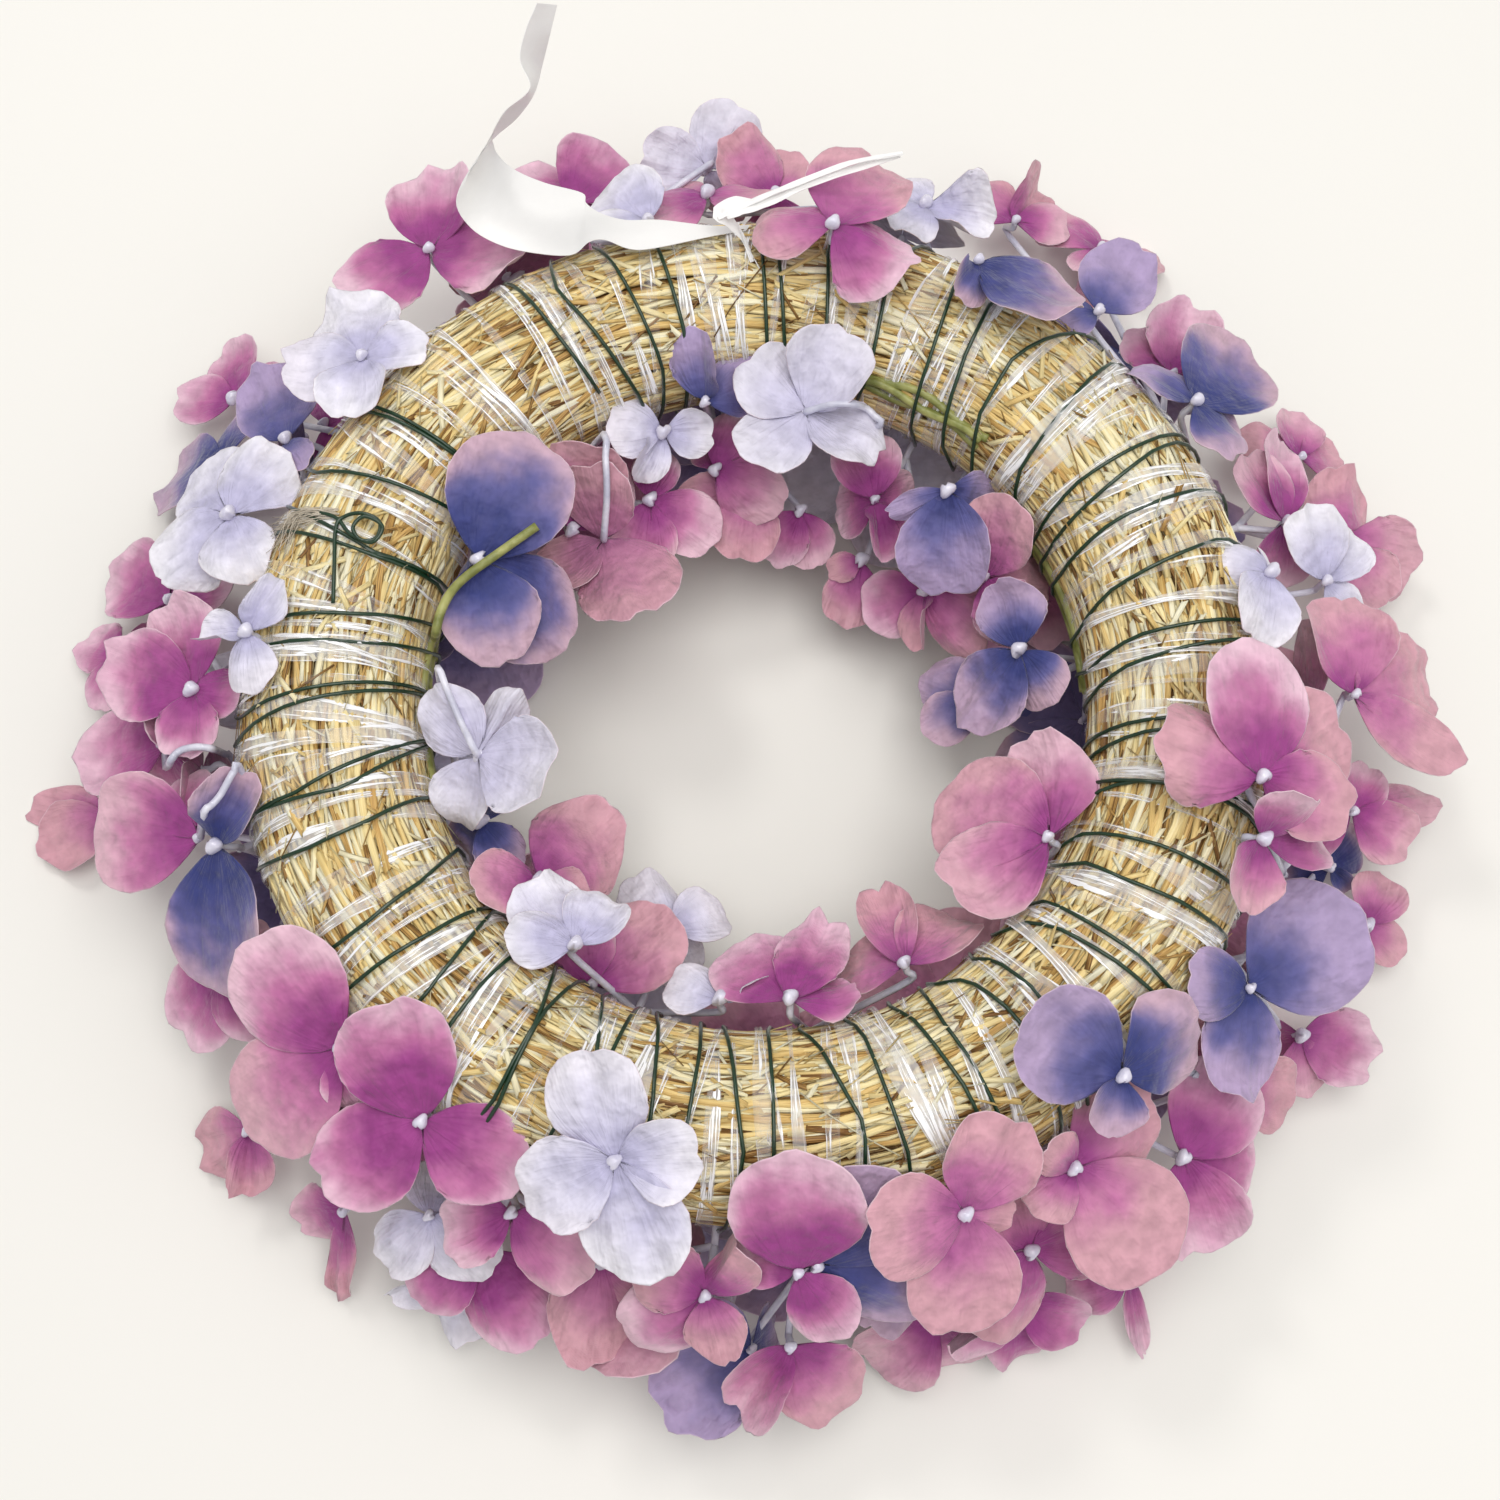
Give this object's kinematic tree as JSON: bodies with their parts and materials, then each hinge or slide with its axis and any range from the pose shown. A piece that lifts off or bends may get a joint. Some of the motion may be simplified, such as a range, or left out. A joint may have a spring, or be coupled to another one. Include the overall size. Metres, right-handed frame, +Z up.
{
  "type": "straw wreath",
  "caption": "Straw ring wreath lying face down: wired fabric hydrangea florets round its sides and face, clear film windings and a blank paper label strip.",
  "frame": {"origin": "on the table, under the middle of the whole wreath's box", "axes": "+Z up, out of the wreath's back as it lies face down; +Y away from the eye that sees it in the picture; +X to that eye's right"},
  "size_m": [0.366, 0.3398, 0.1211],
  "materials": {
    "straw": "pressed dry straw, pale gold, matt with glossy stalks",
    "wire": "dark green lacquered florist's wire",
    "film": "thin clear film, milky and streaky where it lies double",
    "paper": "white label paper, blank, slightly glossy",
    "green": "light green moulded plastic stem",
    "mauve": "dyed satin weave, magenta at the base, dusty pink at the rim",
    "blue": "dyed satin weave, deep blue at the base, lilac pink at the rim",
    "lilac": "dyed satin weave, near white with a lilac middle"
  },
  "bodies": {
    "root": {"blue_spray_01": "blue", "blue_spray_02": "blue", "blue_spray_03": "blue", "blue_spray_04": "blue", "blue_spray_05": "blue", "blue_spray_06": "blue", "blue_spray_07": "blue", "blue_spray_08": "blue", "blue_spray_09": "blue", "blue_spray_10": "blue", "blue_spray_11": "blue", "blue_spray_12": "blue", "clear_film": "film", "film_tail": "film", "green_stem_far": "green", "green_stem_left": "green", "green_stem_near": "green", "green_stem_right": "green", "green_wire": "wire", "label_strip": "paper", "lilac_spray_01": "lilac", "lilac_spray_02": "lilac", "lilac_spray_03": "lilac", "lilac_spray_04": "lilac", "lilac_spray_05": "lilac", "lilac_spray_06": "lilac", "lilac_spray_07": "lilac", "lilac_spray_08": "lilac", "lilac_spray_09": "lilac", "lilac_spray_10": "lilac", "lilac_spray_11": "lilac", "mauve_spray_01": "mauve", "mauve_spray_02": "mauve", "mauve_spray_03": "mauve", "mauve_spray_04": "mauve", "mauve_spray_05": "mauve", "mauve_spray_06": "mauve", "mauve_spray_07": "mauve", "mauve_spray_08": "mauve", "mauve_spray_09": "mauve", "mauve_spray_10": "mauve", "mauve_spray_11": "mauve", "mauve_spray_12": "mauve", "mauve_spray_13": "mauve", "mauve_spray_14": "mauve", "mauve_spray_15": "mauve", "mauve_spray_16": "mauve", "mauve_spray_17": "mauve", "mauve_spray_18": "mauve", "mauve_spray_19": "mauve", "mauve_spray_20": "mauve", "mauve_spray_21": "mauve", "mauve_spray_22": "mauve", "mauve_spray_23": "mauve", "mauve_spray_24": "mauve", "mauve_spray_25": "mauve", "mauve_spray_26": "mauve", "straw_ring": "straw"}
  },
  "joints": []
}
